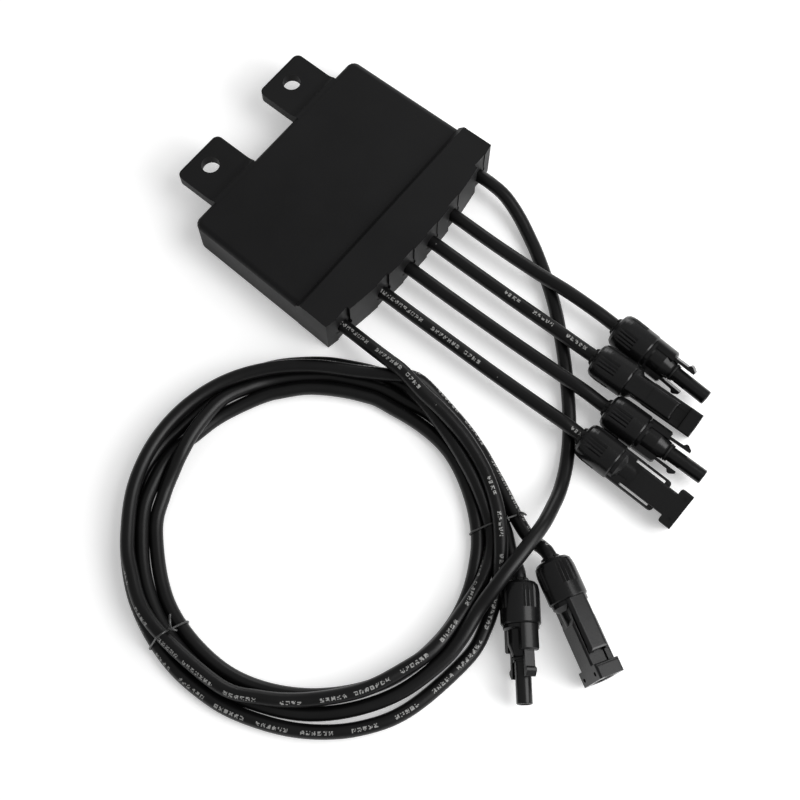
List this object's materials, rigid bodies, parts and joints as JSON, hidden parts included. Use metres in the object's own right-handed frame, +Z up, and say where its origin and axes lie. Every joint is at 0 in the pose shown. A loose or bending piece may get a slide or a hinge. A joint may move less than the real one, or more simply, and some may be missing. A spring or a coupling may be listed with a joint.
{
  "type": "rapid shutdown device",
  "caption": "Potted shutdown unit for solar modules: wedge-front housing with two bolt ears, short input leads and long output leads tied in a coil, each ending in a round connector.",
  "frame": {"origin": "under the middle of the housing with its ears, on the surface that it lies on", "axes": "+Z up, +Y towards the bolt ears, cables leave along -Y"},
  "size_m": [0.3081, 0.3305, 0.0265],
  "materials": {
    "housing_plastic": "fine grained matt black moulding",
    "potting_resin": "black cast resin, slightly glossy",
    "circuit_board": "green solder mask",
    "aluminium": "plain sheet",
    "package_plastic": "moulded black",
    "capacitor_case": "yellow box",
    "ferrite": "grey sintered ferrite",
    "copper": "bright copper",
    "rubber_seal": "matt black rubber",
    "cable_jacket": "black jacket with a soft sheen",
    "tie_wire": "black coated wire",
    "tinned_copper": "tin plate",
    "connector_plastic": "satin black moulding"
  },
  "bodies": {
    "root": {"housing": "housing_plastic", "potting": "potting_resin", "circuit_board": "circuit_board", "heat_spreader": "aluminium", "switch_1": "package_plastic", "switch_2": "package_plastic", "switch_3": "package_plastic", "switch_4": "package_plastic", "bypass_diode_1": "package_plastic", "bypass_diode_2": "package_plastic", "filter_capacitor_1": "capacitor_case", "filter_capacitor_2": "capacitor_case", "transformer_core": "ferrite", "transformer_winding": "copper", "controller_chip": "package_plastic", "cable_bushes": "rubber_seal", "cable_lugs": "copper", "input_lead_1": "cable_jacket", "input_lead_2": "cable_jacket", "input_lead_3": "cable_jacket", "input_lead_4": "cable_jacket", "output_lead_left": "cable_jacket", "output_lead_right": "cable_jacket", "output_tail_plug": "cable_jacket", "output_tail_socket": "cable_jacket", "cable_coil": "cable_jacket", "coil_tie_left": "tie_wire", "coil_tie_right": "tie_wire", "plug_nut_1": "connector_plastic", "plug_seal_1": "rubber_seal", "plug_body_1": "connector_plastic", "plug_contact_1": "tinned_copper", "plug_ring_1": "rubber_seal", "plug_nut_2": "connector_plastic", "plug_seal_2": "rubber_seal", "plug_body_2": "connector_plastic", "plug_contact_2": "tinned_copper", "plug_ring_2": "rubber_seal", "plug_nut_3": "connector_plastic", "plug_seal_3": "rubber_seal", "plug_body_3": "connector_plastic", "plug_contact_3": "tinned_copper", "plug_ring_3": "rubber_seal", "socket_nut_1": "connector_plastic", "socket_seal_1": "rubber_seal", "socket_body_1": "connector_plastic", "socket_contact_1": "tinned_copper", "socket_nut_2": "connector_plastic", "socket_seal_2": "rubber_seal", "socket_body_2": "connector_plastic", "socket_contact_2": "tinned_copper", "socket_nut_3": "connector_plastic", "socket_seal_3": "rubber_seal", "socket_body_3": "connector_plastic", "socket_contact_3": "tinned_copper"}
  },
  "joints": []
}
